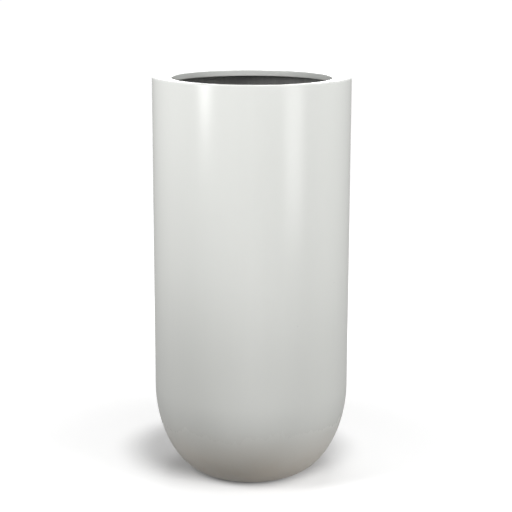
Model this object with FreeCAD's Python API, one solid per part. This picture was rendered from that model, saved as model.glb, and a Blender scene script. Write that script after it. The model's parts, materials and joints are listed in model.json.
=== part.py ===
import FreeCAD, Part
import math
import os

# Tall round planter of hand-laid fibreglass. Millimetres, +Z up.
# The origin is on the floor, under the middle of the planter.

# Overall sizes
overall_height = 1034.0
overall_diameter = 500.0

# Body moulding
wall = 4.0                  # gelcoat and laminate together
mould_draft = 1.5           # the radius narrows this much from the collar joint to the dome
dome_height = 239.0         # from the foot's face to the start of the straight wall
foot_radius = 95.0          # where the dome runs out into the flat foot
foot_land = 27.0            # width of the flat ring that the planter stands on
recess_depth = 10.0         # room under the foot for the drain's nut
recess_round = 3.0

# Rim collar
land_width = 48.0           # from the outside of the rim to its mouth
land_fall = 5.0             # the land slopes down this much towards the mouth
land_thickness = 5.0
rim_round = 5.0             # outer top edge
mouth_round = 3.0           # inner top edge
lip_drop = 15.5             # from the land's inner edge to the bottom of the lip
lip_thickness = 6.0
lip_edge_round = 2.0
corner_round = 4.0          # inside corners under the land
skirt_depth = 40.0          # from the rim's top down to the joint with the body

# Laminated band over the joint
band_thickness = 3.0
band_below = 32.0
band_above = 20.0

# Grate and the ledge that carries it
grate_pass = 5.0            # the grate is smaller than the mouth by this much all round
grate_edge_gap = 2.0        # from the grate's edge to the dome
grate_seat_gap = 0.3        # between the ledge and the grate's rim
grate_plate = 4.0
grate_rim_depth = 8.0
grate_rim_thickness = 4.0
grate_edge_round = 1.5
ledge_thickness = 6.0
ledge_width = 16.0
rib_count = 6
rib_thickness = 3.0
hub_thickness = 4.0         # collar round the grate's middle hole
lift_hole_margin = 12.0     # the middle hole is wider than the plug's cap by this much
slot_width = 7.0
slot_margin = 9.0           # from a row of slots to the hub, to the rim and to the next row
inner_slots = 12
outer_slots = 18

# Ballast, its cover and the well round the drain
reservoir_depth = 20.0      # from the ledge's underside down to the cover's outer edge
cover_thickness = 3.0
cover_fall = 7.0            # slope of the cover towards the well
cover_flange = 12.0         # edge of the cover, bonded to the dome
ballast_least = 12.0        # ballast at the well is at least this thick
well_margin = 10.0          # from the drain's flange to the wall of the well

# Drain
drain_bore = 12.0           # radius
bush_wall = 4.0
bush_overhang = 8.0         # flange of the bush
bush_flange = 3.0           # thickness
bush_edge_round = 1.0
bush_hole_gap = 0.25        # bush in the body's hole
bush_below_nut = 1.0
thread_gap = 0.1            # nut on the bush
gasket_thickness = 2.0
nut_height = 6.0
nut_wall = 7.0
nut_grips = 6
grip_radius = 4.0

# Plug
plug_gap = 0.05             # running clearance in the bush
plug_length = 14.0
plug_nose = 1.5             # bevel at the plug's lower end
plug_seat_gap = 0.3         # between the bush and the plug's cap
plug_cap_overhang = 4.0
plug_cap = 4.0
plug_cap_round = 1.2
neck_radius = 5.0
neck_height = 6.0
knob_radius = 9.0
knob_height = 12.0
knob_round = 3.5

# Foot pads
pad_height = 3.0
pad_margin = 5.0            # from the pads to both edges of the foot's flat ring
pad_count = 4
pad_gap_angle = 12.0        # degrees left open between two pads, for the drained water
pad_edge_round = 0.8

# Places worked out from the sizes above
rim_radius = overall_diameter / 2
joint_height = overall_height - skirt_depth
mouth_radius = rim_radius - land_width
land_slope = math.atan(land_fall / land_width)
rim_corner = overall_height + rim_round * (math.tan(land_slope) + 1 / math.cos(land_slope) - 1)
mouth_height = rim_corner - land_fall
lip_bottom = mouth_height - lip_drop
wall_radius = rim_radius - mould_draft
dome_start = pad_height + dome_height
recess_radius = foot_radius - foot_land
recess_ceiling = pad_height + recess_depth
foot_inside = recess_ceiling + wall

bush_radius = drain_bore + bush_wall
flange_radius = bush_radius + bush_overhang
flange_bottom = foot_inside + gasket_thickness
flange_top = flange_bottom + bush_flange
nut_bottom = recess_ceiling - nut_height
well_radius = flange_radius + well_margin
plug_cap_radius = drain_bore + plug_cap_overhang

grate_radius = mouth_radius - grate_pass
rim_inside = grate_radius - grate_rim_thickness
lift_hole_radius = plug_cap_radius + lift_hole_margin
hub_radius = lift_hole_radius + hub_thickness

origin = FreeCAD.Vector(0, 0, 0)
up = FreeCAD.Vector(0, 0, 1)


def at(radius, height):
    return FreeCAD.Vector(radius, 0, height)


def dome_across(inset):
    return wall_radius - inset - foot_radius


def dome_drop(inset):
    return dome_height - inset


def dome_radius_at(height, inset):
    # Radius of the dome at a height, with the surface moved in by the inset.
    down = (dome_start - height) / dome_drop(inset)
    return foot_radius + dome_across(inset) * math.sqrt(1 - down * down)


def dome_height_at(radius, inset):
    out = (radius - foot_radius) / dome_across(inset)
    return dome_start - dome_drop(inset) * math.sqrt(1 - out * out)


# The ledge lies where the dome has just become wide enough for the grate, or higher up where
# the ballast, its cover and the reservoir need the room.
grate_fits_height = dome_height_at(grate_radius + grate_edge_gap, wall)
stack_height = ballast_least + cover_thickness + cover_fall + reservoir_depth + ledge_thickness
ledge_top = max(grate_fits_height, foot_inside + stack_height)
ledge_bottom = ledge_top - ledge_thickness
ledge_inside = grate_radius + grate_edge_gap - ledge_width
grate_bottom = ledge_top + grate_seat_gap
plate_bottom = grate_bottom + grate_rim_depth
grate_top = plate_bottom + grate_plate
cover_edge_height = ledge_bottom - reservoir_depth
cover_edge_radius = dome_radius_at(cover_edge_height, wall)
cover_well_height = cover_edge_height - cover_fall


def rounded_path(corners):
    # Joins corners given as (radius, height, round) by lines, with a tangent arc at each
    # corner between the ends whose round is above zero. Returns the edges of an open path.
    edges = []
    last = at(corners[0][0], corners[0][1])
    for before, here, after in zip(corners, corners[1:], corners[2:]):
        corner = at(here[0], here[1])
        size = here[2]
        to_before = at(before[0], before[1]).sub(corner).normalize()
        to_after = at(after[0], after[1]).sub(corner).normalize()
        half_angle = to_before.getAngle(to_after) / 2
        setback = size / math.tan(half_angle)
        start = corner + to_before * setback
        edges.append(Part.makeLine(last, start))
        last = start
        if size > 0:
            inward = (to_before + to_after).normalize()
            middle = corner + inward * (size / math.sin(half_angle) - size)
            last = corner + to_after * setback
            edges.append(Part.Arc(start, middle, last).toShape())
    edges.append(Part.makeLine(last, at(corners[-1][0], corners[-1][1])))
    return edges


def turned(edges, angle=360):
    return Part.Face(Part.Wire(edges)).revolve(origin, up, angle)


def ring(corners, angle=360):
    # Turns a closed outline round the axis. The path starts and ends in the middle of the
    # side between the last corner and the first, so that every corner can be rounded.
    first = corners[0]
    last = corners[-1]
    seam = ((first[0] + last[0]) / 2, (first[1] + last[1]) / 2, 0)
    return turned(rounded_path([seam] + corners + [seam]), angle)


def plain_ring(inner_radius, outer_radius, bottom, top):
    return ring([
        (inner_radius, bottom, 0),
        (outer_radius, bottom, 0),
        (outer_radius, top, 0),
        (inner_radius, top, 0),
    ])


def quarter_ellipse(start, corner, end):
    # A conic through both ends, tangent to the lines that meet in the corner.
    curve = Part.BezierCurve()
    curve.setPoles([start, corner, end])
    curve.setWeight(2, math.sqrt(0.5))
    return curve.toShape()


def body_form(inset):
    # The body's outer form or, with an inset, the space inside a wall of that thickness:
    # the recess in the foot, the dome and the wall up to the joint with the collar.
    # The recess widens downwards by as much as it is deep.
    bevel_shift = inset * math.tan(math.atan(1) / 2)
    ceiling = recess_ceiling + inset
    bottom = pad_height + inset
    side = wall_radius - inset
    foot = rounded_path([
        (0, ceiling, 0),
        (recess_radius - recess_depth + bevel_shift, ceiling, recess_round),
        (recess_radius + bevel_shift, bottom, recess_round),
        (foot_radius, bottom, 0),
    ])
    dome = quarter_ellipse(at(foot_radius, bottom), at(side, bottom), at(side, dome_start))
    sides = rounded_path([
        (side, dome_start, 0),
        (rim_radius - inset, joint_height, 0),
        (0, joint_height, 0),
        (0, ceiling, 0),
    ])
    return turned(foot + [dome] + sides)


def planter_shell():
    drain_hole = Part.makeCylinder(bush_radius + bush_hole_gap, joint_height)
    return body_form(0).cut(body_form(wall)).cut(drain_hole)


def rim_collar():
    # The outer corner lies above the overall height by as much as its round takes off.
    inside = rim_radius - wall
    lip_back = mouth_radius + lip_thickness
    fall_at_wall = wall * math.tan(land_slope)
    rise_at_lip = lip_thickness * math.tan(land_slope)
    return ring([
        (rim_radius, joint_height, 0),
        (rim_radius, rim_corner, rim_round),
        (mouth_radius, mouth_height, mouth_round),
        (mouth_radius, lip_bottom, lip_edge_round),
        (lip_back, lip_bottom, lip_edge_round),
        (lip_back, mouth_height + rise_at_lip - land_thickness, corner_round),
        (inside, rim_corner - fall_at_wall - land_thickness, corner_round),
        (inside, joint_height, 0),
    ])


def joint_band():
    # Lies on the collar's skirt above the joint and on the drafted wall below it.
    inside = rim_radius - wall
    low_inside = inside - mould_draft * band_below / (joint_height - dome_start)
    return ring([
        (low_inside - band_thickness, joint_height - band_below, 0),
        (low_inside, joint_height - band_below, 0),
        (inside, joint_height, 0),
        (inside, joint_height + band_above, 0),
        (inside - band_thickness, joint_height + band_above, 0),
        (inside - band_thickness, joint_height, 0),
    ])


def shelf_ledge():
    return plain_ring(ledge_inside, wall_radius, ledge_bottom, ledge_top).common(body_form(wall))


def cover_outline(lowered):
    # Radius and height of the cover's top surface at the well and out past the dome, or of
    # a surface that lies lower by the given amount.
    slope = cover_fall / (cover_edge_radius - well_radius)
    past_dome = wall_radius
    return (
        (well_radius, cover_well_height - lowered),
        (past_dome, cover_edge_height + slope * (past_dome - cover_edge_radius) - lowered),
    )


def ballast_ring():
    # Fills the dome from the foot up to the underside of its cover, outside the well.
    inner, outer = cover_outline(cover_thickness)
    inside = well_radius + cover_thickness
    block = ring([
        (inner[0], pad_height, 0),
        (outer[0], pad_height, 0),
        (outer[0], outer[1], 0),
        (inner[0], inner[1], 0),
    ])
    well = Part.makeCylinder(inside, joint_height)
    return block.cut(well).common(body_form(wall))


def ballast_cover():
    # A sloping floor, the wall of the well and an edge turned up along the dome.
    top_inner, top_outer = cover_outline(0)
    low_inner, low_outer = cover_outline(cover_thickness)
    floor = ring([
        (low_inner[0], low_inner[1], 0),
        (low_outer[0], low_outer[1], 0),
        (top_outer[0], top_outer[1], 0),
        (top_inner[0], top_inner[1], 0),
    ])
    edge = plain_ring(well_radius, wall_radius, low_inner[1], cover_edge_height + cover_flange)
    edge = edge.cut(body_form(wall + cover_thickness))
    edge = edge.cut(ring([
        (well_radius, pad_height, 0),
        (low_outer[0], pad_height, 0),
        (low_outer[0], low_outer[1], 0),
        (low_inner[0], low_inner[1], 0),
    ]))
    well_wall = plain_ring(
        well_radius, well_radius + cover_thickness, foot_inside, cover_well_height
    )
    return floor.fuse([edge, well_wall]).common(body_form(wall)).removeSplitter()


def slot(start, end):
    # A slot along a radius, with round ends, through the grate's plate.
    half = slot_width / 2
    middle = Part.makeBox(
        end - start - slot_width, slot_width, grate_plate, FreeCAD.Vector(start + half, -half, plate_bottom)
    )
    ends = [Part.makeCylinder(half, grate_plate, at(r, plate_bottom)) for r in (start + half, end - half)]
    return middle.fuse(ends).removeSplitter()


def drainage_grate():
    plate = ring([
        (lift_hole_radius, grate_bottom, 0),
        (hub_radius, grate_bottom, 0),
        (hub_radius, plate_bottom, 0),
        (rim_inside, plate_bottom, 0),
        (rim_inside, grate_bottom, 0),
        (grate_radius, grate_bottom, 0),
        (grate_radius, grate_top, grate_edge_round),
        (lift_hole_radius, grate_top, grate_edge_round),
    ])
    overlap = grate_rim_thickness / 2
    rib = Part.makeBox(
        rim_inside - hub_radius + 2 * overlap,
        rib_thickness,
        grate_rim_depth,
        FreeCAD.Vector(hub_radius - overlap, -rib_thickness / 2, grate_bottom),
    )
    ribs = [rib.rotated(origin, up, 360 * n / rib_count) for n in range(rib_count)]
    first = hub_radius + slot_margin
    last = rim_inside - slot_margin
    middle = (first + last) / 2
    rows = (
        (inner_slots, slot(first, middle - slot_margin / 2)),
        (outer_slots, slot(middle + slot_margin / 2, last)),
    )
    slots = [
        cut.rotated(origin, up, 360 * (n + 0.5) / count) for count, cut in rows for n in range(count)
    ]
    return plate.fuse(ribs).removeSplitter().cut(slots)


def drain_bush():
    return ring([
        (drain_bore, nut_bottom - bush_below_nut, 0),
        (bush_radius, nut_bottom - bush_below_nut, 0),
        (bush_radius, flange_bottom, 0),
        (flange_radius, flange_bottom, 0),
        (flange_radius, flange_top, bush_edge_round),
        (drain_bore, flange_top, 0),
    ])


def drain_gasket():
    return plain_ring(bush_radius + bush_hole_gap, flange_radius, foot_inside, flange_bottom)


def drain_locknut():
    nut_radius = bush_radius + nut_wall
    nut = plain_ring(bush_radius + thread_gap, nut_radius, nut_bottom, recess_ceiling)
    grip = Part.makeCylinder(grip_radius, nut_height, at(nut_radius + grip_radius / 2, nut_bottom))
    return nut.cut([grip.rotated(origin, up, 360 * n / nut_grips) for n in range(nut_grips)])


def drain_plug():
    stem_radius = drain_bore - plug_gap
    cap_bottom = flange_top + plug_seat_gap
    cap_top = cap_bottom + plug_cap
    knob_bottom = cap_top + neck_height
    stem_bottom = cap_bottom - plug_length
    return turned(rounded_path([
        (0, stem_bottom, 0),
        (stem_radius - plug_nose, stem_bottom, 0),
        (stem_radius, stem_bottom + plug_nose, 0),
        (stem_radius, cap_bottom, 0),
        (plug_cap_radius, cap_bottom, 0),
        (plug_cap_radius, cap_top, plug_cap_round),
        (neck_radius, cap_top, 0),
        (neck_radius, knob_bottom, 0),
        (knob_radius, knob_bottom, knob_round),
        (knob_radius, knob_bottom + knob_height, knob_round),
        (0, knob_bottom + knob_height, 0),
        (0, stem_bottom, 0),
    ]))


def foot_pads():
    # Arcs under the foot's flat ring. The first one is centred on +X.
    inner = recess_radius + pad_margin
    outer = foot_radius - pad_margin
    step = 360 / pad_count
    pad = ring([
        (inner, 0, pad_edge_round),
        (outer, 0, pad_edge_round),
        (outer, pad_height, 0),
        (inner, pad_height, 0),
    ], step - pad_gap_angle)
    first = (pad_gap_angle - step) / 2
    return Part.makeCompound([pad.rotated(origin, up, first + step * n) for n in range(pad_count)])


parts = {
    "planter_shell": planter_shell(),
    "rim_collar": rim_collar(),
    "joint_band": joint_band(),
    "ballast_ring": ballast_ring(),
    "ballast_cover": ballast_cover(),
    "shelf_ledge": shelf_ledge(),
    "drainage_grate": drainage_grate(),
    "drain_bush": drain_bush(),
    "drain_gasket": drain_gasket(),
    "drain_locknut": drain_locknut(),
    "drain_plug": drain_plug(),
    "foot_pads": foot_pads(),
}

os.makedirs("parts", exist_ok=True)
for node, shape in parts.items():
    shape.exportStep("parts/" + node + ".step")
    print(node, len(shape.Solids), "solid(s),", round(shape.Volume / 1000, 1), "cm3, valid", shape.isValid())
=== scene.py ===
import json
import math
import bmesh
import bpy
from mathutils import Matrix, Vector

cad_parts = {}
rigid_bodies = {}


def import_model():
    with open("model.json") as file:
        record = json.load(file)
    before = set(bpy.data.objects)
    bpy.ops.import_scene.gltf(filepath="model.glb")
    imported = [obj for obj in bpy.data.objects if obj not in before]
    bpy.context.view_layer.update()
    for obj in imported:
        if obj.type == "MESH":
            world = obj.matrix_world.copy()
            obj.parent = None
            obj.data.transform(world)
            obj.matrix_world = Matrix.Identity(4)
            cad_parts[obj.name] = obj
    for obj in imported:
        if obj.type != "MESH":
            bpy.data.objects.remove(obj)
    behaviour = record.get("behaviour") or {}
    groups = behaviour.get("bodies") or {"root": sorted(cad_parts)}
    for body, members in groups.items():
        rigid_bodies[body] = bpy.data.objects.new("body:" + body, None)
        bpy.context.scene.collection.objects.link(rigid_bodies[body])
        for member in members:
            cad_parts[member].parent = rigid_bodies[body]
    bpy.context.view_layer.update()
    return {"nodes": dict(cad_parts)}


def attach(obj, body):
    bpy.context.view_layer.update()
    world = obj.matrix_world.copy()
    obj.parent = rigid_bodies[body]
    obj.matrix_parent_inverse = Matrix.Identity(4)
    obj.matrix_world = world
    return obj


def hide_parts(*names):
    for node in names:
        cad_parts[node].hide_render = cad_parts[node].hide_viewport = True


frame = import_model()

print("frame loaded:", len(frame["nodes"]), "nodes")


class nodeValue:  # a number socket that takes part in sums while a tree is being built
    def __init__(self, tree, socket):
        self.tree = tree
        self.socket = socket

    def math(self, kind, first, second=None):
        node = self.tree.nodes.new("ShaderNodeMath")
        node.operation = kind
        for place, value in zip(node.inputs, (first, second)):
            if isinstance(value, nodeValue):
                self.tree.links.new(value.socket, place)
            elif value is not None:
                place.default_value = value
        return nodeValue(self.tree, node.outputs[0])

    def __neg__(self):
        return self.math("MULTIPLY", self, -1.0)


operators = {"add": "ADD", "sub": "SUBTRACT", "mul": "MULTIPLY", "truediv": "DIVIDE"}
for label, kind in operators.items():
    setattr(nodeValue, f"__{label}__", lambda self, other, kind=kind: self.math(kind, self, other))
    setattr(nodeValue, f"__r{label}__", lambda self, other, kind=kind: self.math(kind, other, self))

functions = {
    "sqrt": "SQRT", "sin": "SINE", "cos": "COSINE", "tan": "TANGENT", "atan": "ARCTANGENT",
    "fraction": "FRACT", "size": "ABSOLUTE", "rounded": "ROUND", "sign": "SIGN", "least": "MINIMUM",
    "most": "MAXIMUM", "above": "GREATER_THAN", "below": "LESS_THAN", "angle": "ARCTAN2",
}
for label, kind in functions.items():
    setattr(nodeValue, label, lambda self, *other, kind=kind: self.math(kind, self, *other))


def newNode(tree, kind, settings=None, **inputs):  # inputs are numbers, vectors, sockets or nodeValues
    node = tree.nodes.new(kind)
    for key, value in (settings or {}).items():
        setattr(node, key, value)
    for key, value in inputs.items():
        feed(tree, node.inputs[key.replace("_", " ")], value)
    return node


def feed(tree, socket, value):
    if isinstance(value, nodeValue):
        tree.links.new(value.socket, socket)
    elif isinstance(value, bpy.types.NodeSocket):
        tree.links.new(value, socket)
    else:
        socket.default_value = value


def parted(tree, vector):  # the three numbers of a vector
    node = newNode(tree, "ShaderNodeSeparateXYZ", Vector=vector)
    return [nodeValue(tree, socket) for socket in node.outputs]


def combined(tree, *numbers):  # a vector from up to three numbers
    node = tree.nodes.new("ShaderNodeCombineXYZ")
    for socket, number in zip(node.inputs, numbers):
        feed(tree, socket, number)
    return node.outputs[0]


def position(tree):  # where each point of the geometry lies
    return newNode(tree, "GeometryNodeInputPosition").outputs[0]


def moved(tree, geometry, **place):  # place is a Position, or an Offset to add
    return newNode(tree, "GeometryNodeSetPosition", Geometry=geometry, **place).outputs[0]


def sizeTree(name, sizes):  # a geometry tree with one named input for each size
    tree = bpy.data.node_groups.new(name, "GeometryNodeTree")
    tree.interface.new_socket(name="Geometry", in_out="OUTPUT", socket_type="NodeSocketGeometry")
    for label, value in sizes.items():
        kind = "NodeSocketInt" if isinstance(value, int) else "NodeSocketFloat"
        socket = tree.interface.new_socket(name=label, in_out="INPUT", socket_type=kind)
        socket.default_value = value
    inputs = tree.nodes.new("NodeGroupInput")
    return tree, {label: nodeValue(tree, inputs.outputs[label]) for label in sizes}


def endTree(tree, geometry, material, others=()):  # others are (material, selection socket)
    solid = newNode(tree, "GeometryNodeRealizeInstances", Geometry=geometry)
    coat = newNode(tree, "GeometryNodeSetMaterial", Geometry=solid.outputs[0], Material=material)
    for otherMaterial, selection in others:
        coat = newNode(tree, "GeometryNodeSetMaterial", Geometry=coat.outputs[0],
                       Material=otherMaterial, Selection=selection)
    output = tree.nodes.new("NodeGroupOutput")
    tree.links.new(coat.outputs[0], output.inputs[0])


sharpAngle = 38        # degrees, edges that turn by more stay sharp
mergeDistance = 1e-6   # metres, points closer than this are one
smallRadius = 0.001    # metres, keeps a division by the radius safe near the axis


def plainMesh(name, tree, sizes):  # runs the tree and keeps its result as a plain mesh
    holder = bpy.data.objects.new(name + "Tree", bpy.data.meshes.new(name + "Tree"))
    bpy.context.scene.collection.objects.link(holder)
    modifier = holder.modifiers.new("sizes", "NODES")
    modifier.node_group = tree
    for item in tree.interface.items_tree:
        if item.in_out == "INPUT" and item.name in sizes:
            modifier[item.identifier] = sizes[item.name]
    ready = holder.evaluated_get(bpy.context.evaluated_depsgraph_get())
    mesh = bpy.data.meshes.new_from_object(ready)
    holder.modifiers.clear()
    bpy.data.objects.remove(holder)
    mesh.name = name
    cleanMesh(mesh)
    piece = bpy.data.objects.new(name, mesh)
    bpy.context.scene.collection.objects.link(piece)
    mesh.shade_smooth()
    mesh.set_sharp_from_angle(angle=math.radians(sharpAngle))
    print("made", name, len(mesh.polygons), "faces")
    return piece


def cleanMesh(mesh):  # merges seams and points every face outwards
    work = bmesh.new()
    work.from_mesh(mesh)
    bmesh.ops.remove_doubles(work, verts=work.verts, dist=mergeDistance)
    bmesh.ops.dissolve_degenerate(work, edges=work.edges, dist=mergeDistance / 10)
    bmesh.ops.recalc_face_normals(work, faces=work.faces)
    work.to_mesh(mesh)
    work.free()


# a turned shape is a chain of corners, each with its round, taken round the upright axis
def groupTree(name, inputs, outputs):  # a reusable group, with the kind of each input and output
    tree = bpy.data.node_groups.new(name, "GeometryNodeTree")
    for way, sockets in (("INPUT", inputs), ("OUTPUT", outputs)):
        for label, kind in sockets.items():
            tree.interface.new_socket(name=label, in_out=way, socket_type="NodeSocket" + kind)
    return tree, tree.nodes.new("NodeGroupInput").outputs, tree.nodes.new("NodeGroupOutput").inputs


def vectorMath(tree, kind, first, second=None, scale=None):
    node = newNode(tree, "ShaderNodeVectorMath", {"operation": kind})
    feed(tree, node.inputs[0], first)
    if second is not None:
        feed(tree, node.inputs[1], second)
    if scale is not None:
        feed(tree, node.inputs["Scale"], scale)
    return node.outputs["Value" if kind in ("DOT_PRODUCT", "LENGTH", "DISTANCE") else "Vector"]


def makeCornerGroup():  # where a round starts and ends, and the weight that makes it an arc
    tree, inputs, outputs = groupTree(
        "roundedCorner", {"Before": "Vector", "Corner": "Vector", "After": "Vector", "Round": "Float"},
        {"Start": "Vector", "End": "Vector", "Weight": "Float"})
    corner = inputs["Corner"]
    backward = vectorMath(tree, "NORMALIZE", vectorMath(tree, "SUBTRACT", inputs["Before"], corner))
    forward = vectorMath(tree, "NORMALIZE", vectorMath(tree, "SUBTRACT", inputs["After"], corner))
    cosine = nodeValue(tree, vectorMath(tree, "DOT_PRODUCT", backward, forward))
    setback = nodeValue(tree, inputs["Round"]) / ((1.0 - cosine) / (1.0 + cosine)).sqrt()
    for label, way in (("Start", backward), ("End", forward)):
        step = vectorMath(tree, "SCALE", way, scale=setback)
        feed(tree, outputs[label], vectorMath(tree, "ADD", corner, step))
    feed(tree, outputs["Weight"], ((1.0 - cosine) / 2.0).sqrt())
    return tree


def makeStripGroup():  # a band of faces along a conic, taken right round the axis
    tree, inputs, outputs = groupTree(
        "turnedStrip", {"Start": "Vector", "Control": "Vector", "End": "Vector", "Weight": "Float",
                        "Rings": "Int", "Around": "Int", "Inner": "Bool"}, {"Geometry": "Geometry"})
    across, along = (nodeValue(tree, inputs[label]) + 1 for label in ("Around", "Rings"))
    grid = newNode(tree, "GeometryNodeMeshGrid", Size_X=1.0, Size_Y=1.0, Vertices_X=across, Vertices_Y=along)
    across, up = parted(tree, position(tree))[:2]
    turn = (across + 0.5) * (2 * math.pi)  # the grid is one wide and one high, about its middle
    along = up + 0.5
    back = 1.0 - along
    shares = (back * back, along * back * 2.0 * nodeValue(tree, inputs["Weight"]), along * along)
    total = shares[0] + shares[1] + shares[2]
    spot = None
    for label, share in zip(("Start", "Control", "End"), shares):
        part = vectorMath(tree, "SCALE", inputs[label], scale=share / total)
        spot = part if spot is None else vectorMath(tree, "ADD", spot, part)
    radius, height = parted(tree, spot)[::2]
    turned = combined(tree, radius * turn.cos(), radius * turn.sin(), height)
    marked = newNode(tree, "GeometryNodeStoreNamedAttribute", {"data_type": "BOOLEAN", "domain": "FACE"},
                     Geometry=moved(tree, grid.outputs[0], Position=turned), Name="coatSide",
                     Value=inputs["Inner"])
    feed(tree, outputs["Geometry"], marked.outputs[0])
    return tree


cornerGroup = makeCornerGroup()
stripGroup = makeStripGroup()


def useGroup(tree, group, **inputs):
    node = tree.nodes.new("GeometryNodeGroup")
    node.node_tree = group
    for label, value in inputs.items():
        feed(tree, node.inputs[label], value)
    return node.outputs


def point(tree, radius, height):
    return combined(tree, radius, 0.0, height)


def turnedLine(tree, start, end, rings, around, inner=False):
    middle = vectorMath(tree, "SCALE", vectorMath(tree, "ADD", start, end), scale=0.5)
    return useGroup(tree, stripGroup, Start=start, Control=middle, End=end, Weight=1.0,
                    Rings=rings, Around=around, Inner=inner)["Geometry"]


def roundedChain(tree, corners, around, closed=True, arcRings=6, inner=False):
    # corners are (radius, height, round, rings on the line that follows)
    count = len(corners)
    points = [point(tree, corner[0], corner[1]) for corner in corners]
    strips, starts, ends = [], [], []
    for index, corner in enumerate(corners):
        loose = not closed and index in (0, count - 1)
        if loose or (not isinstance(corner[2], nodeValue) and corner[2] == 0):
            starts.append(points[index])
            ends.append(points[index])
            continue
        turn = useGroup(tree, cornerGroup, Before=points[index - 1], Corner=points[index],
                        After=points[(index + 1) % count], Round=corner[2])
        starts.append(turn["Start"])
        ends.append(turn["End"])
        strips.append(useGroup(tree, stripGroup, Start=turn["Start"], Control=points[index], End=turn["End"],
                               Weight=turn["Weight"], Rings=arcRings, Around=around, Inner=inner)["Geometry"])
    for index in range(count if closed else count - 1):
        following = starts[(index + 1) % count]
        strips.append(turnedLine(tree, ends[index], following, corners[index][3], around, inner))
    return strips


def joined(tree, parts):
    join = tree.nodes.new("GeometryNodeJoinGeometry")
    for part in reversed(parts):
        tree.links.new(part, join.inputs[0])
    merged = newNode(tree, "GeometryNodeMergeByDistance", Geometry=join.outputs[0], Distance=mergeDistance)
    return merged.outputs[0]


def noise(tree, coords, scale, detail=2.0, roughness=0.5, warp=0.0, stretch=None):
    if stretch:
        coords = newNode(tree, "ShaderNodeMapping", Vector=coords, Scale=stretch).outputs[0]
    node = newNode(tree, "ShaderNodeTexNoise", Vector=coords, Scale=scale, Detail=detail,
                   Roughness=roughness, Distortion=warp)
    return nodeValue(tree, node.outputs[0])


def ramp(tree, value, low, high, fromLow=0.0, fromHigh=1.0):  # low up to fromLow, high beyond fromHigh
    node = newNode(tree, "ShaderNodeMapRange", {"interpolation_type": "SMOOTHSTEP"})
    for label, number in (("Value", value), ("From Min", fromLow), ("From Max", fromHigh),
                          ("To Min", low), ("To Max", high)):
        feed(tree, node.inputs[label], number)
    return nodeValue(tree, node.outputs[0])


def blended(tree, factor, first, second, kind="MIX"):
    node = newNode(tree, "ShaderNodeMix", {"data_type": "RGBA", "blend_type": kind})
    feed(tree, node.inputs[0], factor)
    feed(tree, node.inputs[6], first)
    feed(tree, node.inputs[7], second)
    return node.outputs[2]


def shaded(tree, colour, value):  # a colour times a number
    node = newNode(tree, "ShaderNodeCombineColor")
    for index in range(3):
        feed(tree, node.inputs[index], value)
    return blended(tree, 1.0, colour, node.outputs[0], "MULTIPLY")


def cells(tree, coords, scale, radius):  # one small round spot in each cell of a loose pattern
    pattern = newNode(tree, "ShaderNodeTexVoronoi", Vector=coords, Scale=scale)
    return nodeValue(tree, pattern.outputs["Distance"]).below(radius), pattern.outputs["Color"]


def objectCoords(tree):
    return newNode(tree, "ShaderNodeTexCoord").outputs["Object"]


def newMaterial(name, look):
    material = bpy.data.materials.new(name)
    material.use_nodes = True
    tree = material.node_tree
    coords = objectCoords(tree)
    noises = {label: noise(tree, coords, **kind) for label, kind in look["noises"].items()}
    return material, tree, noises


def weighed(noises, shares, start):  # each noise moves the start value up and down by its share
    for label, share in shares.items():
        start = (noises[label] - 0.5) * share + start
    return start


def finishShader(tree, look, noises, colour, value, rough=0.0, height=0.0):
    # the look's own shares of its noises come on top of the value, the roughness and the height given here
    shader = tree.nodes["Principled BSDF"]
    colour = shaded(tree, colour, weighed(noises, look["shade"], value))
    tree.links.new(colour, shader.inputs["Base Color"])
    feed(tree, shader.inputs["Roughness"], weighed(noises, look["rough"], look["roughness"] + rough))
    strength, distance = look["bump"]
    relief = newNode(tree, "ShaderNodeBump", Strength=strength, Distance=distance,
                     Height=weighed(noises, look["relief"], height))
    tree.links.new(relief.outputs[0], shader.inputs["Normal"])
    return shader


# in every look below, a ramp is (value before, value after, from, to), and a bump is (strength, distance)
gelcoatLook = {
    "colour": (0.80, 0.812, 0.785, 1),
    "warmColour": (0.76, 0.69, 0.60, 1),  # warmer and darker in patches towards the floor
    "warmRamp": (1.0, 0.0, 0.0, 0.20),  # over the height above the floor
    "patchRamp": (0.75, 1.0, 0.3, 0.7),
    "paintedLowShade": (0.925, 1.0, 0.30, 0.60),  # painted shade: the lower wall is made a little darker, for the weaker light it gets
    "shade": {"clouds": 0.035, "streaks": 0.012, "grain": 0.02},
    "specks": (34.0, 0.035),  # how many to a metre, and the share of a cell that each takes
    "speckless": 0.86,  # the share of cells that show none
    "speckShade": 0.22,
    "roughness": 0.25,
    "rough": {"clouds": 0.08, "streaks": 0.05},
    "patchRoughness": 0.2,
    "ior": 1.34,
    "bump": (0.35, 0.0004),
    "relief": {"waves": 3.0, "orangePeel": 0.12, "fibres": 0.03},
    "noises": {
        "clouds": {"scale": 5.0, "detail": 4.0, "roughness": 0.55, "stretch": (1, 1, 0.6)},
        "streaks": {"scale": 60.0, "detail": 3.0, "roughness": 0.6, "stretch": (1, 1, 0.08)},
        "grain": {"scale": 420.0},
        "patches": {"scale": 14.0, "detail": 5.0, "roughness": 0.65},
        "orangePeel": {"scale": 160.0},
        "fibres": {"scale": 700.0, "warp": 0.6, "stretch": (1, 1, 0.25)},
        "waves": {"scale": 11.0, "roughness": 0.4, "stretch": (1, 1, 0.5)},
    },
}


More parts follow.
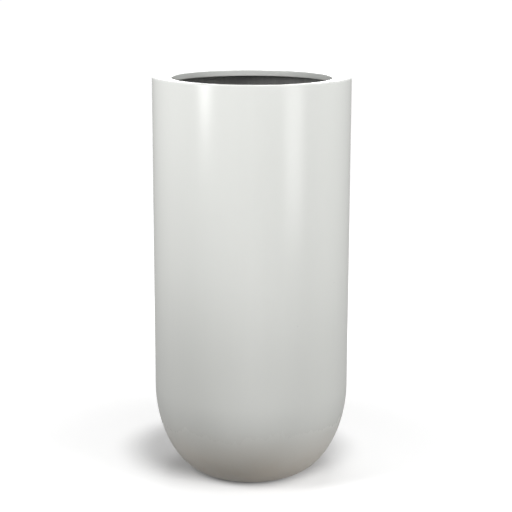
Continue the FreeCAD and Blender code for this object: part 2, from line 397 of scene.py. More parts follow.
def gelcoatMaterial():
    look = gelcoatLook
    material, tree, noises = newMaterial("gelcoat", look)
    coords = objectCoords(tree)
    height = parted(tree, coords)[2]
    # patches low on the wall turn warmer, darker and rougher
    tinted = ramp(tree, height, *look["warmRamp"]) * ramp(tree, noises["patches"], *look["patchRamp"])
    speck, cellColour = cells(tree, coords, *look["specks"])
    chosen = nodeValue(tree, newNode(tree, "ShaderNodeSeparateColor", Color=cellColour).outputs[0])
    specks = speck * chosen.above(look["speckless"]) * look["speckShade"]
    colour = blended(tree, tinted, look["colour"], look["warmColour"])
    # the height ramp paints shade on the lower wall
    shader = finishShader(tree, look, noises, colour, ramp(tree, height, *look["paintedLowShade"]) - specks,
                          tinted * look["patchRoughness"])
    shader.inputs["IOR"].default_value = look["ior"]
    return material


darkCoatLook = {
    "colour": (0.25, 0.253, 0.246, 1),
    "fibreColour": (0.37, 0.37, 0.36, 1),
    "streakRamp": (0.0, 0.55, 0.35, 0.75),
    "shade": {"clouds": 0.4},
    "roughness": 0.62,
    "rough": {"clouds": 0.25},
    "bump": (0.7, 0.0009),
    "relief": {"streaks": 0.6, "grain": 0.2},
    "strandColour": 0.18,
    "strandHeight": 0.4,
    "strandSize": (0.022, 0.0016, 0.0016),
    "strandRamp": (0.0, 1.0, 0.60, 0.70),
    "strandLayers": 4,
    "strandShift": 0.07,  # each layer is moved and turned on from the one before
    "strandTurn": (0.7, 0.5, 0.8),
    "strandLay": 0.3,
    "strands": {"scale": 1.0, "detail": 1.0, "roughness": 0.4},
    "noises": {
        "streaks": {"scale": 90.0, "detail": 4.0, "roughness": 0.6, "warp": 0.4, "stretch": (1, 1, 0.12)},
        "clouds": {"scale": 16.0, "detail": 4.0, "roughness": 0.6},
        "grain": {"scale": 300.0},
    },
}


def matStrands(tree, coords):  # the glass mat's short straight strands, lying in four directions
    look = darkCoatLook
    strands = None
    for number in range(look["strandLayers"]):
        across, deep, up = (number * step for step in look["strandTurn"])
        laid = newNode(tree, "ShaderNodeMapping", {"vector_type": "TEXTURE"}, Vector=coords,
                       Location=(look["strandShift"] * number, 0, 0),
                       Rotation=(across, deep, look["strandLay"] + up), Scale=look["strandSize"])
        strand = ramp(tree, noise(tree, laid.outputs[0], **look["strands"]), *look["strandRamp"])
        strands = strands.most(strand) if strands else strand
    return strands


def darkCoatMaterial():  # dark grey flow coat brushed over the glass mat
    look = darkCoatLook
    material, tree, noises = newMaterial("darkCoat", look)
    strand = matStrands(tree, objectCoords(tree))
    mixing = ramp(tree, noises["streaks"], *look["streakRamp"]) + strand * look["strandColour"]
    colour = blended(tree, mixing, look["colour"], look["fibreColour"])
    finishShader(tree, look, noises, colour, 1.0, height=strand * look["strandHeight"])
    return material


plasticLook = {
    "value": 0.98,
    "shade": {"clouds": 0.2, "grain": 0.12},
    "roughness": 0.0,  # comes on top of each piece's own
    "rough": {"clouds": 0.14},
    "scratchRamp": (0.0, 0.1, 0.6, 0.7),
    "bump": (0.4, 0.0002),
    "relief": {"grain": 0.5, "scratches": 0.2},
    "noises": {
        "clouds": {"scale": 26.0, "detail": 4.0, "roughness": 0.6},
        "grain": {"scale": 900.0},
        "scratches": {"scale": 240.0, "warp": 0.8, "stretch": (1, 0.06, 1)},
    },
}


def plasticMaterial(name, colour, roughness):
    look = plasticLook
    material, tree, noises = newMaterial(name, look)
    scratched = ramp(tree, noises["scratches"], *look["scratchRamp"])
    finishShader(tree, look, noises, colour, look["value"], scratched + roughness)
    return material


rubberLook = {
    "colour": (0.022, 0.022, 0.022, 1),
    "dustColour": (0.11, 0.105, 0.095, 1),
    "dustRamp": (0.0, 0.35, 0.28, 0.45),
    "shade": {},
    "roughness": 0.72,
    "rough": {"clouds": 0.2},
    "bump": (0.3, 0.0003),
    "relief": {"dust": 1.0},
    "noises": {
        "clouds": {"scale": 40.0, "detail": 5.0, "roughness": 0.65},
        "dust": {"scale": 300.0, "detail": 3.0, "roughness": 0.6},
    },
}


def rubberMaterial():
    look = rubberLook
    material, tree, noises = newMaterial("rubber", look)
    tinted = ramp(tree, noises["dust"] * noises["clouds"], *look["dustRamp"])
    finishShader(tree, look, noises, blended(tree, tinted, look["colour"], look["dustColour"]), 1.0)
    return material


cementLook = {
    "colour": (0.42, 0.41, 0.385, 1),
    "value": 0.95,
    "shade": {"clouds": 0.5, "sand": 0.3},
    "pores": (130.0, 0.16),  # how many to a metre, and the share of a cell that each takes
    "poreShade": 0.25,
    "poreDepth": 0.8,
    "roughness": 0.85,
    "rough": {"clouds": 0.1},
    "bump": (0.6, 0.0008),
    "relief": {"sand": 0.5, "clouds": 0.5},
    "noises": {
        "clouds": {"scale": 18.0, "detail": 6.0, "roughness": 0.65},
        "sand": {"scale": 700.0},
    },
}


def cementMaterial():
    look = cementLook
    material, tree, noises = newMaterial("castBallast", look)
    pore = cells(tree, objectCoords(tree), *look["pores"])[0]
    finishShader(tree, look, noises, look["colour"], look["value"] - pore * look["poreShade"],
                 height=-pore * look["poreDepth"])
    return material


gelcoat = gelcoatMaterial()
darkCoat = darkCoatMaterial()
gratePlastic = plasticMaterial("gratePlastic", (0.03, 0.031, 0.032, 1), 0.42)
fittingPlastic = plasticMaterial("fittingPlastic", (0.085, 0.09, 0.095, 1), 0.38)
rubber = rubberMaterial()
castBallast = cementMaterial()
print("materials made")


bodySizes = {
    "Rim Radius": 0.250,
    "Joint Height": 0.994,
    "Mould Draft": 0.0015,
    "Dome Start": 0.242,
    "Foot Radius": 0.095,
    "Foot Height": 0.003,
    "Foot Land": 0.027,
    "Recess Depth": 0.010,
    "Recess Round": 0.003,
    "Wall": 0.004,
    "Drain Hole": 0.01625,
    "Waver": 0.0003,  # how far the wall sinks in at most
    "Waver Scale": 1.6,
    "Waver Around": 1.2,
    "Waver Upright": 3.0,
    "Waver Seed": 3.7,
    "Waver Start": 0.03,  # no waver up to this height, nor at the joint
    "Waver Slope": 12.0,
    "Dome Rings": 40,
    "Wall Rings": 36,
    "Around": 224,
}
slopeShift = math.tan(math.radians(45 / 2))  # an inset moves a corner of 45 degrees sideways by this share


def coatedSide(tree):  # the faces that carry the dark coat
    side = newNode(tree, "GeometryNodeInputNamedAttribute", {"data_type": "BOOLEAN"}, Name="coatSide")
    return side.outputs["Attribute"]


def fade(value):  # kept from 0 to 1
    return value.most(0.0).least(1.0)


def bodyTree(sizes):
    tree, size = sizeTree("bodyMoulding", sizes)
    around = size["Around"]

    def side(inset, inner):  # the outer form, or the inner one a wall's thickness in
        shift = inset * slopeShift
        ceiling = size["Foot Height"] + size["Recess Depth"] + inset
        bottom = size["Foot Height"] + inset
        recess = size["Foot Radius"] - size["Foot Land"]
        wallRadius = size["Rim Radius"] - size["Mould Draft"] - inset
        foot = roundedChain(tree, [
            (size["Drain Hole"], ceiling, 0, 6),
            (recess - size["Recess Depth"] + shift, ceiling, size["Recess Round"], 2),
            (recess + shift, bottom, size["Recess Round"], 4),
            (size["Foot Radius"], bottom, 0, 1),
        ], around, closed=False, inner=inner)
        domeTop = point(tree, wallRadius, size["Dome Start"])
        dome = useGroup(tree, stripGroup, Start=point(tree, size["Foot Radius"], bottom),
                        Control=point(tree, wallRadius, bottom), End=domeTop, Weight=math.sqrt(0.5),
                        Rings=size["Dome Rings"], Around=around, Inner=inner)["Geometry"]
        joint = point(tree, size["Rim Radius"] - inset, size["Joint Height"])
        wall = turnedLine(tree, domeTop, joint, size["Wall Rings"], around, inner)
        return foot + [dome, wall], point(tree, size["Drain Hole"], ceiling), joint

    outer, holeLow, jointOut = side(0.0, False)
    inner, holeHigh, jointIn = side(size["Wall"], True)
    ends = [turnedLine(tree, low, high, 1, around, True)
            for low, high in ((holeLow, holeHigh), (jointOut, jointIn))]
    form = joined(tree, outer + inner + ends)

    # a hand-laid skin is never quite true: it sinks in here and there, away from joint and foot
    across, deep, height = parted(tree, position(tree))
    radius = (across * across + deep * deep).sqrt().most(smallRadius)
    level = combined(tree, across / radius * size["Waver Around"], deep / radius * size["Waver Around"],
                     height * size["Waver Upright"])
    swell = newNode(tree, "ShaderNodeTexNoise", {"noise_dimensions": "4D"}, Vector=level,
                    W=size["Waver Seed"], Scale=size["Waver Scale"], Detail=1.0)
    low = fade((height - size["Waver Start"]) * size["Waver Slope"])
    high = fade((size["Joint Height"] - height) * size["Waver Slope"])
    amount = nodeValue(tree, swell.outputs[0]) * size["Waver"] * low * high / radius
    form = moved(tree, form, Offset=combined(tree, -across * amount, -deep * amount))
    endTree(tree, form, gelcoat, [(darkCoat, coatedSide(tree))])
    return tree


def placed(name, tree, sizes, node, body="planter"):
    piece = plainMesh(name, tree, sizes)
    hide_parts(node)
    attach(piece, body)


placed("planterBody", bodyTree(bodySizes), bodySizes, "planter_shell")


collarSizes = {
    "Rim Radius": 0.250,
    "Top Height": 1.034,
    "Joint Height": 0.994,
    "Wall": 0.004,
    "Land Width": 0.048,
    "Land Fall": 0.005,
    "Land Thickness": 0.005,
    "Outer Round": 0.005,
    "Mouth Round": 0.003,
    "Lip Drop": 0.0155,
    "Lip Thickness": 0.006,
    "Lip Round": 0.002,
    "Inner Round": 0.004,
    "Around": 224,
}


def collarTree(sizes):
    tree, size = sizeTree("rimCollar", sizes)
    around = size["Around"]
    slope = (size["Land Fall"] / size["Land Width"]).atan()
    corner = size["Top Height"] + size["Outer Round"] * (slope.tan() + 1.0 / slope.cos() - 1.0)
    mouth = size["Rim Radius"] - size["Land Width"]
    mouthHeight = corner - size["Land Fall"]
    lipBottom = mouthHeight - size["Lip Drop"]
    lipBack = mouth + size["Lip Thickness"]
    inside = size["Rim Radius"] - size["Wall"]
    underLip = mouthHeight + size["Lip Thickness"] * slope.tan() - size["Land Thickness"]
    underWall = corner - size["Wall"] * slope.tan() - size["Land Thickness"]
    seen = roundedChain(tree, [
        (size["Rim Radius"], size["Joint Height"], 0, 4),
        (size["Rim Radius"], corner, size["Outer Round"], 6),
        (mouth, mouthHeight, size["Mouth Round"], 3),
        (mouth, lipBottom, size["Lip Round"], 1),
        (lipBack, lipBottom, 0, 1),
    ], around, closed=False, arcRings=10)
    hidden = roundedChain(tree, [
        (lipBack, lipBottom, 0, 1),
        (lipBack, underLip, size["Inner Round"], 4),
        (inside, underWall, size["Inner Round"], 2),
        (inside, size["Joint Height"], 0, 1),
        (size["Rim Radius"], size["Joint Height"], 0, 1),
    ], around, closed=False, inner=True)
    endTree(tree, joined(tree, seen + hidden), gelcoat, [(darkCoat, coatedSide(tree))])
    return tree


placed("rimCollar", collarTree(collarSizes), collarSizes, "rim_collar")


def turnedPiece(name, sizes, outline, material, node, body="planter", closed=True, change=None):
    # outline gives the corners of the section, and change may move the points afterwards
    tree, size = sizeTree(name, sizes)
    form = joined(tree, roundedChain(tree, outline(size), size["Around"], closed, arcRings=4))
    if change:
        form = change(tree, size, form)
    endTree(tree, form, material)
    placed(name, tree, sizes, node, body)


def polarPlace(tree):  # distance from the axis, angle and height of each point
    across, deep, height = parted(tree, position(tree))
    return (across * across + deep * deep).sqrt(), deep.angle(across), height


def scaledRadius(tree, form, factor):  # moves each point towards the axis or away from it
    across, deep, height = parted(tree, position(tree))
    return moved(tree, form, Position=combined(tree, across * factor, deep * factor, height))


# the glass mat and resin over the joint, thin at its two edges and never quite even
bandSizes = {
    "Inside": 0.246,
    "Thickness": 0.003,
    "Thin Edge": 0.0007,
    "Feather": 0.009,
    "Soft Edge": 0.003,
    "Joint Height": 0.994,
    "Below": 0.032,
    "Above": 0.020,
    "Draft": 0.00006,
    "Unevenness": 0.0009,
    "Lump Scale": 42.0,
    "Around": 256,
}


def bandOutline(size):
    low = size["Joint Height"] - size["Below"]
    high = size["Joint Height"] + size["Above"]
    return [
        (size["Inside"] - size["Draft"], low, 0, 4),
        (size["Inside"], size["Joint Height"], 0, 3),
        (size["Inside"], high, 0, 1),
        (size["Inside"] - size["Thin Edge"], high, 0, 5),
        (size["Inside"] - size["Thickness"], high - size["Feather"], size["Soft Edge"], 14),
        (size["Inside"] - size["Thickness"], low + size["Feather"], size["Soft Edge"], 5),
        (size["Inside"] - size["Draft"] - size["Thin Edge"], low, 0, 1),
    ]


def bandLumps(tree, size, form):  # the mat lies thinner in places
    radius = polarPlace(tree)[0]
    lumps = noise(tree, position(tree), size["Lump Scale"], detail=3.0)
    depth = fade((size["Inside"] - radius) / size["Thickness"])
    return scaledRadius(tree, form, 1.0 + lumps * depth * size["Unevenness"] / radius)


turnedPiece("jointBand", bandSizes, bandOutline, darkCoat, "joint_band", change=bandLumps)


domeSizes = {
    "Wall Radius": 0.2485,
    "Dome Start": 0.242,
    "Dome Height": 0.239,
    "Foot Radius": 0.095,
    "Wall": 0.004,
}


def domeRadius(size, height, inset):  # inside of the dome at a height, moved in by the inset
    down = (size["Dome Start"] - height) / (size["Dome Height"] - inset)
    across = size["Wall Radius"] - inset - size["Foot Radius"]
    return size["Foot Radius"] + across * (1.0 - down * down).sqrt()


ledgeSizes = {
    **domeSizes,
    "Ledge Top": 0.07318,
    "Thickness": 0.006,
    "Inner Radius": 0.183,
    "Edge Round": 0.0014,
    "Around": 192,
}


def ledgeOutline(size):
    low = size["Ledge Top"] - size["Thickness"]
    return [
        (size["Inner Radius"], low, size["Edge Round"], 3),
        (domeRadius(size, low, size["Wall"]), low, 0, 2),
        (domeRadius(size, size["Ledge Top"], size["Wall"]), size["Ledge Top"], 0, 3),
        (size["Inner Radius"], size["Ledge Top"], size["Edge Round"], 1),
    ]


turnedPiece("shelfLedge", ledgeSizes, ledgeOutline, darkCoat, "shelf_ledge")


coverSizes = {
    **domeSizes,
    "Edge Height": 0.04718,
    "Fall": 0.007,
    "Thickness": 0.003,
    "Flange": 0.012,
    "Well Radius": 0.034,
    "Well Bottom": 0.017,
    "Lip Round": 0.0022,
    "Edge Dip": 0.0002,
    "Edge Round": 0.002,
    "Flange Round": 0.0008,
    "Under Round": 0.001,
    "Around": 192,
}


def coverOutline(size):
    edge, thick, wall = size["Edge Height"], size["Thickness"], size["Wall"]
    well, middle, high = edge - size["Fall"], edge + size["Flange"] * 0.5, edge + size["Flange"]
    return [
        (size["Well Radius"], size["Well Bottom"], 0, 4),
        (size["Well Radius"], well, size["Lip Round"], 24),
        (domeRadius(size, edge, wall + thick), edge - size["Edge Dip"], size["Edge Round"], 2),
        (domeRadius(size, middle, wall + thick), middle, 0, 2),
        (domeRadius(size, high, wall + thick), high, size["Flange Round"], 1),
        (domeRadius(size, high, wall), high, 0, 2),
        (domeRadius(size, middle, wall), middle, 0, 2),
        (domeRadius(size, edge - thick, wall), edge - thick, 0, 24),
        (size["Well Radius"] + thick, well - thick, size["Under Round"], 3),
        (size["Well Radius"] + thick, size["Well Bottom"], 0, 1),
    ]


turnedPiece("ballastCover", coverSizes, coverOutline, darkCoat, "ballast_cover")


bushSizes = {
    "Bore": 0.012,
    "Bush Radius": 0.016,
    "Lower End": 0.006,
    "Flange Bottom": 0.019,
    "Flange Top": 0.022,
    "Flange Radius": 0.024,
    "Edge Round": 0.001,
    "Small Round": 0.0004,
    "Lead In": 0.0006,
    "Thread Pitch": 0.0016,
    "Thread Depth": 0.0005,
    "Thread Inside": 0.0008,  # the thread moves only points this near to the outside
    "Thread Outside": 0.0004,
    "Thread Stop": 0.0005,  # and this far below the flange
    "Around": 96,
}


def bushOutline(size):
    return [
        (size["Bore"], size["Lower End"], size["Small Round"], 1),
        (size["Bush Radius"], size["Lower End"], size["Lead In"], 56),
        (size["Bush Radius"], size["Flange Bottom"], 0, 2),
        (size["Flange Radius"], size["Flange Bottom"], size["Small Round"], 1),
        (size["Flange Radius"], size["Flange Top"], size["Edge Round"], 3),
        (size["Bore"], size["Flange Top"], size["Lead In"], 4),
    ]


def bushThread(tree, size, form):  # one winding cut into the outside, below the flange
    radius, turn, height = polarPlace(tree)
    winding = (height / size["Thread Pitch"] - turn / (2 * math.pi)).fraction()
    groove = (winding * 2.0 - 1.0).size()
    outside = (radius.above(size["Bush Radius"] - size["Thread Inside"])
               * radius.below(size["Bush Radius"] + size["Thread Outside"]))
    window = outside * height.below(size["Flange Bottom"] - size["Thread Stop"])
    return scaledRadius(tree, form, 1.0 - groove * window * size["Thread Depth"] / radius)


turnedPiece("drainBush", bushSizes, bushOutline, fittingPlastic, "drain_bush", change=bushThread)


gasketSizes = {
    "Inner Radius": 0.01625,
    "Outer Radius": 0.024,
    "Bottom": 0.017,
    "Top": 0.019,
    "Edge Round": 0.0008,
    "Around": 96,
}


def gasketOutline(size):
    return [
        (size["Inner Radius"], size["Bottom"], 0, 2),
        (size["Outer Radius"], size["Bottom"], size["Edge Round"], 1),
        (size["Outer Radius"], size["Top"], size["Edge Round"], 2),
        (size["Inner Radius"], size["Top"], 0, 1),
    ]


turnedPiece("drainGasket", gasketSizes, gasketOutline, rubber, "drain_gasket")


nutSizes = {
    "Inner Radius": 0.0161,
    "Outer Radius": 0.023,
    "Bottom": 0.007,
    "Top": 0.013,
    "Edge Round": 0.0006,
    "Top Round": 0.0003,
    "Grips": 6,
    "Grip Radius": 0.004,
    "Around": 288,
}


def nutOutline(size):
    return [
        (size["Inner Radius"], size["Bottom"], size["Edge Round"], 3),
        (size["Outer Radius"], size["Bottom"], size["Edge Round"], 3),
        (size["Outer Radius"], size["Top"], size["Top Round"], 3),
        (size["Inner Radius"], size["Top"], 0, 2),
    ]


def nutGrips(tree, size, form):  # hollows for the fingers, each a part of a circle
    radius, turn = polarPlace(tree)[:2]
    step = 2 * math.pi / size["Grips"]
    count = turn / step
    nearest = (count - count.rounded()) * step
    centre = size["Outer Radius"] + size["Grip Radius"] * 0.5
    aside = centre * nearest.sin()
    reach = (size["Grip Radius"] * size["Grip Radius"] - aside * aside).most(0.0)
    hollow = centre * nearest.cos() - reach.sqrt()
    edge = size["Outer Radius"] + (hollow - size["Outer Radius"]).least(0.0) * reach.above(0.0)
    share = ((radius - size["Inner Radius"]) / (size["Outer Radius"] - size["Inner Radius"])).most(0.0)
    return scaledRadius(tree, form, 1.0 + share * (edge / size["Outer Radius"] - 1.0))


turnedPiece("drainLocknut", nutSizes, nutOutline, fittingPlastic, "drain_locknut", change=nutGrips)


plugSizes = {
    "Stem Radius": 0.01195,
    "Stem Bottom": 0.0083,
    "Nose": 0.0015,
    "Groove Start": 0.0035,
    "Groove Step": 0.003,
    "Groove Width": 0.0016,
    "Groove Slant": 0.0004,
    "Groove Depth": 0.0007,
    "Groove Round": 0.0002,
    "Seat": 0.0223,
    "Seat Round": 0.0003,
    "Cap Radius": 0.016,
    "Cap Thickness": 0.004,
    "Cap Round": 0.0012,
    "Cap Edge Round": 0.0004,
    "Neck Radius": 0.005,
    "Neck Height": 0.006,
    "Neck Round": 0.0016,
    "Knob Radius": 0.009,
    "Knob Height": 0.012,
    "Knob Round": 0.0035,
    "Knob Dish": 0.0009,
    "Dish Round": 0.001,
    "Flutes": 12,
    "Flute Depth": 0.0007,
    "Flute Start": 0.0012,  # from the knob's lower edge
    "Flute End": 0.0014,  # from its upper edge
    "Flute Slope": 700.0,
    "Around": 144,
}


def plugOutline(size):
    stem, low, depth = size["Stem Radius"], size["Stem Bottom"], size["Groove Depth"]
    capTop = size["Seat"] + size["Cap Thickness"]
    knobLow = capTop + size["Neck Height"]
    knobTop = knobLow + size["Knob Height"]
    corner, slant, width = size["Groove Round"], size["Groove Slant"], size["Groove Width"]
    grooves = []
    for number in range(3):
        start = low + size["Groove Start"] + size["Groove Step"] * number
        grooves += [
            (stem, start, corner, 1),
            (stem - depth, start + slant, corner, 1),
            (stem - depth, start + width - slant, corner, 1),
            (stem, start + width, corner, 1),
        ]
    return [(0, low, 0, 3), (stem - size["Nose"], low, 0, 2), (stem, low + size["Nose"], 0, 2)] + grooves + [
        (stem, size["Seat"], size["Seat Round"], 1),
        (size["Cap Radius"], size["Seat"], size["Cap Edge Round"], 1),
        (size["Cap Radius"], capTop, size["Cap Round"], 3),
        (size["Neck Radius"], capTop, size["Neck Round"], 2),
        (size["Neck Radius"], knobLow, size["Neck Round"], 1),
        (size["Knob Radius"], knobLow, size["Knob Round"] * 0.5, 10),
        (size["Knob Radius"], knobTop, size["Knob Round"], 1),
        (size["Knob Radius"] * 0.5, knobTop, size["Dish Round"], 3),
        (0, knobTop - size["Knob Dish"], 0, 1),
    ]


def plugFlutes(tree, size, form):  # shallow hollows round the knob for a better hold
    radius, turn, height = polarPlace(tree)
    knobLow = size["Seat"] + size["Cap Thickness"] + size["Neck Height"]
    wave = (turn * size["Flutes"]).cos() * 0.5 + 0.5
    low = fade((height - knobLow - size["Flute Start"]) * size["Flute Slope"])
    high = fade((knobLow + size["Knob Height"] - size["Flute End"] - height) * size["Flute Slope"])
    depth = wave * wave * low * high * size["Flute Depth"]
    return scaledRadius(tree, form, 1.0 - depth / radius.most(smallRadius))


turnedPiece("drainPlug", plugSizes, plugOutline, rubber, "drain_plug", "plug", False, plugFlutes)


padSizes = {
    "Inner Radius": 0.073,
    "Outer Radius": 0.090,
    "Height": 0.003,
    "Edge Round": 0.0008,
    "Pads": 4,
    "Gap Angle": math.radians(12),
    "Arc Steps": 56,
}


def roundedBar(tree, line, width, height, edgeRound):  # along a line, with rounded edges and closed ends
    section = newNode(tree, "GeometryNodeCurvePrimitiveQuadrilateral", Width=width, Height=height)
    rounded = newNode(tree, "GeometryNodeFilletCurve", {"mode": "POLY"}, Curve=section.outputs[0],
                      Count=3, Radius=edgeRound)
    bar = newNode(tree, "GeometryNodeCurveToMesh", Curve=line, Profile_Curve=rounded.outputs[0],
                  Fill_Caps=True)
    return bar.outputs[0]


def aroundAxis(tree, geometry, count, offset=0.0):  # copies turned round the axis by equal steps
    points = newNode(tree, "GeometryNodePoints", Count=count)
    number = nodeValue(tree, newNode(tree, "GeometryNodeInputIndex").outputs[0])
    turn = combined(tree, 0.0, 0.0, (number + offset) * (2 * math.pi) / count)
    copies = newNode(tree, "GeometryNodeInstanceOnPoints", Points=points.outputs[0], Instance=geometry,
                     Rotation=turn)
    return copies.outputs[0]


def padTree(sizes):  # one rounded strip bent along an arc, repeated round the foot
    tree, size = sizeTree("footPads", sizes)
    sweep = 2 * math.pi / size["Pads"] - size["Gap Angle"]
    middle = (size["Inner Radius"] + size["Outer Radius"]) / 2.0
    width = size["Outer Radius"] - size["Inner Radius"]
    line = newNode(tree, "GeometryNodeCurveArc", Resolution=size["Arc Steps"], Radius=middle,
                   Start_Angle=sweep * -0.5, Sweep_Angle=sweep)
    strip = roundedBar(tree, line.outputs[0], width, size["Height"], size["Edge Round"])
    pads = aroundAxis(tree, strip, size["Pads"])
    endTree(tree, moved(tree, pads, Offset=combined(tree, 0.0, 0.0, size["Height"] / 2.0)), rubber)
    return tree


placed("footPads", padTree(padSizes), padSizes, "foot_pads")


grateSizes = {
    "Outer Radius": 0.197,
    "Rim Thickness": 0.004,
    "Hole Radius": 0.028,
    "Hub Thickness": 0.004,
    "Bottom": 0.07348,
    "Rim Depth": 0.008,
    "Plate": 0.004,
    "Edge Round": 0.0015,
    "Low Edge Round": 0.0005,
    "Slot Width": 0.007,
    "Slot Margin": 0.009,
    "Slot Bevel": 0.0006,
    "Slot Reach": 0.002,  # how far the cutter stands out above and below the plate
    "Slot Around": 30,
    "Inner Slots": 12,
    "Outer Slots": 18,
    "Ribs": 6,
    "Rib Thickness": 0.003,
    "Rib Round": 0.0006,
    "Around": 192,
}


def slotCutter(tree, size, start, end):
    # a round plug, wider above and below the plate, pulled apart to the slot's length
    half = size["Slot Width"] / 2.0
    bevel = size["Slot Bevel"]
    low = size["Bottom"] + size["Rim Depth"]
    high = low + size["Plate"]
    over = size["Slot Reach"]
    plug = joined(tree, roundedChain(tree, [
        (0, low - over, 0, 1),
        (half + bevel + over, low - over, 0, 1),
        (half, low + bevel, 0, 1),
        (half, high - bevel, 0, 1),
        (half + bevel + over, high + over, 0, 1),
        (0, high + over, 0, 1),
    ], size["Slot Around"], closed=False))
    across = parted(tree, position(tree))[0]
    stretch = across.sign() * ((end - start) / 2.0 - half) + (start + end) / 2.0
    return moved(tree, plug, Offset=combined(tree, stretch))


def grateTree(sizes):
    tree, size = sizeTree("drainageGrate", sizes)
    low = size["Bottom"]
    under = low + size["Rim Depth"]
    top = under + size["Plate"]
    hub = size["Hole Radius"] + size["Hub Thickness"]
    rimInside = size["Outer Radius"] - size["Rim Thickness"]
    soft = size["Low Edge Round"]
    plate = joined(tree, roundedChain(tree, [
        (size["Hole Radius"], low, soft, 3),
        (hub, low, soft, 2),
        (hub, under, 0, 6),
        (rimInside, under, 0, 2),
        (rimInside, low, soft, 1),
        (size["Outer Radius"], low, soft, 3),
        (size["Outer Radius"], top, size["Edge Round"], 6),
        (size["Hole Radius"], top, size["Edge Round"], 2),
    ], size["Around"]))
    first = hub + size["Slot Margin"]
    last = rimInside - size["Slot Margin"]
    middle = (first + last) / 2.0
    gap = size["Slot Margin"] / 2.0
    innerRow = aroundAxis(tree, slotCutter(tree, size, first, middle - gap), size["Inner Slots"], 0.5)
    outerRow = aroundAxis(tree, slotCutter(tree, size, middle + gap, last), size["Outer Slots"], 0.5)
    slotted = newNode(tree, "GeometryNodeMeshBoolean", {"operation": "DIFFERENCE"})
    tree.links.new(plate, slotted.inputs["Mesh 1"])
    for row in (innerRow, outerRow):
        slots = newNode(tree, "GeometryNodeRealizeInstances", Geometry=row)
        tree.links.new(slots.outputs[0], slotted.inputs["Mesh 2"])

    overlap = size["Rim Thickness"] / 2.0  # the ribs run into the hub and the rim
    ribHeight = low + size["Rim Depth"] / 2.0
    line = newNode(tree, "GeometryNodeCurvePrimitiveLine", Start=point(tree, hub - overlap, ribHeight),
                   End=point(tree, rimInside + overlap, ribHeight))
    rib = roundedBar(tree, line.outputs[0], size["Rib Thickness"], size["Rim Depth"], size["Rib Round"])
    both = tree.nodes.new("GeometryNodeJoinGeometry")
    for part in (slotted.outputs[0], aroundAxis(tree, rib, size["Ribs"])):
        tree.links.new(part, both.inputs[0])
    endTree(tree, both.outputs[0], gratePlastic)
    return tree


placed("drainageGrate", grateTree(grateSizes), grateSizes, "drainage_grate", "grate")


# the cast ballast is closed in on all sides and keeps its own shape
frame["nodes"]["ballast_ring"].data.materials.clear()
frame["nodes"]["ballast_ring"].data.materials.append(castBallast)
print("inner pieces made")


stageLook = {  # a glow, a shade or an edge is a ramp over a distance in metres
    "floorSize": 60.0,
    "floorColour": (0.80, 0.80, 0.80, 1),
    "bounceColour": (0.21, 0.205, 0.195, 1),  # what the planter receives back from the floor
    "shadeCentre": (-0.037, 0.19, 0),  # the glow is held back round this point: the lamps' soft shadow, deepened by painted shadow, falls back and a little to the left
    "nearGlow": (0.0, 0.434, 0.21, 0.35),  # what the camera sees on top of the lit floor
    "farGlow": (0.0, 0.50, 0.47, 1.46),  # the same further off, until the floor is plain white
    "footShade": (0.0, 1.0, 0.085, 0.14),  # painted contact shadow: no glow under the foot
    "sweepEdge": (1.0, 0.35, 0.05, 0.5),  # to the sides the white paper is duller in the wall's gloss
    "worldLight": 0.12,
    "lampAim": 0.75,  # the height that all lamps point at
}


def pureWhite(tree, inGloss=1.0):  # one for the camera, and inGloss in reflections and through clear things
    path = newNode(tree, "ShaderNodeLightPath").outputs
    camera, glossy, through = (nodeValue(tree, path[f"Is {kind} Ray"])
                               for kind in ("Camera", "Glossy", "Transmission"))
    return (camera + (glossy + through) * inGloss).least(1.0)


def makeFloor():
    half = stageLook["floorSize"] / 2
    mesh = bpy.data.meshes.new("floor")
    corners = [(-half, -half, 0), (half, -half, 0), (half, half, 0), (-half, half, 0)]
    mesh.from_pydata(corners, [], [(0, 1, 2, 3)])
    floor = bpy.data.objects.new("floor", mesh)
    bpy.context.scene.collection.objects.link(floor)
    material = bpy.data.materials.new("paleFloor")
    material.use_nodes = True
    tree = material.node_tree
    tree.nodes.clear()
    coords = objectCoords(tree)
    side = parted(tree, coords)[0].size()
    seen = pureWhite(tree, ramp(tree, side, *stageLook["sweepEdge"]))
    colour = blended(tree, seen, stageLook["bounceColour"], stageLook["floorColour"])
    surface = newNode(tree, "ShaderNodeBsdfDiffuse", Color=colour)
    away = vectorMath(tree, "LENGTH", coords)
    near = vectorMath(tree, "DISTANCE", coords, stageLook["shadeCentre"])
    # held back near the planter and under its foot, the glow paints shadow on top of the lamps' own
    glow = ramp(tree, near, *stageLook["nearGlow"]) + ramp(tree, away, *stageLook["farGlow"])
    glow = glow * ramp(tree, away, *stageLook["footShade"])
    light = newNode(tree, "ShaderNodeEmission", Color=(1, 1, 1, 1), Strength=seen * glow)
    both = tree.nodes.new("ShaderNodeAddShader")
    tree.links.new(surface.outputs[0], both.inputs[0])
    tree.links.new(light.outputs[0], both.inputs[1])
    output = tree.nodes.new("ShaderNodeOutputMaterial")
    tree.links.new(both.outputs[0], output.inputs[0])
    mesh.materials.append(material)


def makeWorld():
    world = bpy.data.worlds.new("studio")
    bpy.context.scene.world = world
    world.use_nodes = True
    tree = world.node_tree
    background = tree.nodes["Background"]
    background.inputs["Color"].default_value = (1, 1, 1, 1)
    dim = stageLook["worldLight"]
    feed(tree, background.inputs["Strength"], pureWhite(tree) * (1.0 - dim) + dim)


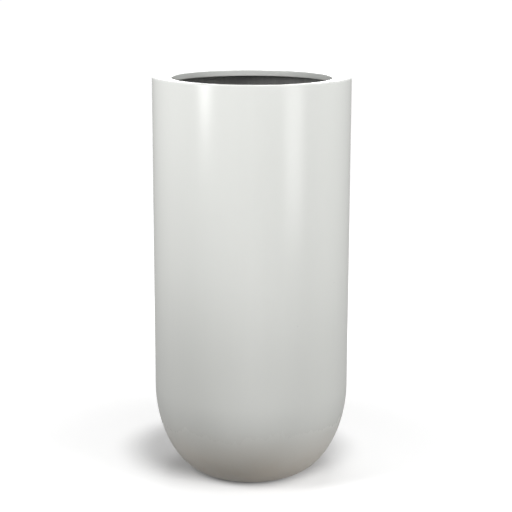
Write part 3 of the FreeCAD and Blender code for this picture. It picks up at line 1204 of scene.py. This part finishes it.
lamps = {  # azimuth is in degrees from the camera's side, minus is left; sizes and distances in metres
    "softboxLeft": dict(azimuth=-50, height=1.2, distance=1.5, size=(0.34, 0.9), watts=16),
    "softboxRight": dict(azimuth=47, height=2.0, distance=1.7, size=(0.5, 1.0), watts=12.5),
    "softboxRightLow": dict(azimuth=47, height=0.9, distance=2.4, size=(0.9, 1.2), watts=25),
    "softboxTop": dict(azimuth=170, height=3.2, distance=0.8, size=(1.8, 1.8), watts=32),
    "softboxBack": dict(azimuth=180, height=1.8, distance=2.6, size=(1.8, 1.6), watts=48,
                        planterOnly=True),  # fills the back and leaves the soft shadow on the floor alone
}


def makeLamps():
    pieces = bpy.data.collections.new("planterPieces")
    for thing in bpy.context.scene.objects:
        if thing.type == "MESH" and thing.name != "floor":
            pieces.objects.link(thing)
    for name, lamp in lamps.items():
        light = bpy.data.lights.new(name, "AREA")
        light.shape = "RECTANGLE"
        light.size, light.size_y = lamp["size"]
        light.energy = lamp["watts"]
        holder = bpy.data.objects.new(name, light)
        bpy.context.scene.collection.objects.link(holder)
        turn, distance = math.radians(lamp["azimuth"]), lamp["distance"]
        holder.location = (math.sin(turn) * distance, -math.cos(turn) * distance, lamp["height"])
        aim = Vector((0, 0, stageLook["lampAim"])) - holder.location
        holder.rotation_euler = aim.to_track_quat("-Z", "Y").to_euler()
        if lamp.get("planterOnly"):
            holder.light_linking.receiver_collection = pieces


cameraView = {
    "distance": 3.998,
    "height": 1.4011,
    "pitch": 0.2044,  # radians below the level
    "roll": 0.0024,  # the picture leans this much to the right
    "pictureWidth": 512,
    "focalPixels": 1594.0,
    "axisPixel": 251.4,  # where the planter's axis stands in the picture
    "sensorWidth": 36.0,
    "farEnd": 200.0,
}


def makeCamera():
    view = cameraView
    camera = bpy.data.cameras.new("camera")
    camera.sensor_width = view["sensorWidth"]
    camera.sensor_fit = "HORIZONTAL"
    camera.lens = view["focalPixels"] / view["pictureWidth"] * view["sensorWidth"]
    camera.shift_x = 0.5 - view["axisPixel"] / view["pictureWidth"]
    camera.clip_end = view["farEnd"]
    holder = bpy.data.objects.new("camera", camera)
    bpy.context.scene.collection.objects.link(holder)
    holder.location = (0, -view["distance"], view["height"])
    tilt = Matrix.Rotation(math.pi / 2 - view["pitch"], 3, "X") @ Matrix.Rotation(view["roll"], 3, "Z")
    holder.rotation_euler = tilt.to_euler()
    bpy.context.scene.camera = holder


makeFloor()
makeWorld()
makeLamps()
makeCamera()
bpy.context.scene.view_settings.view_transform = "Standard"
print("stage ready")

bpy.context.view_layer.update()
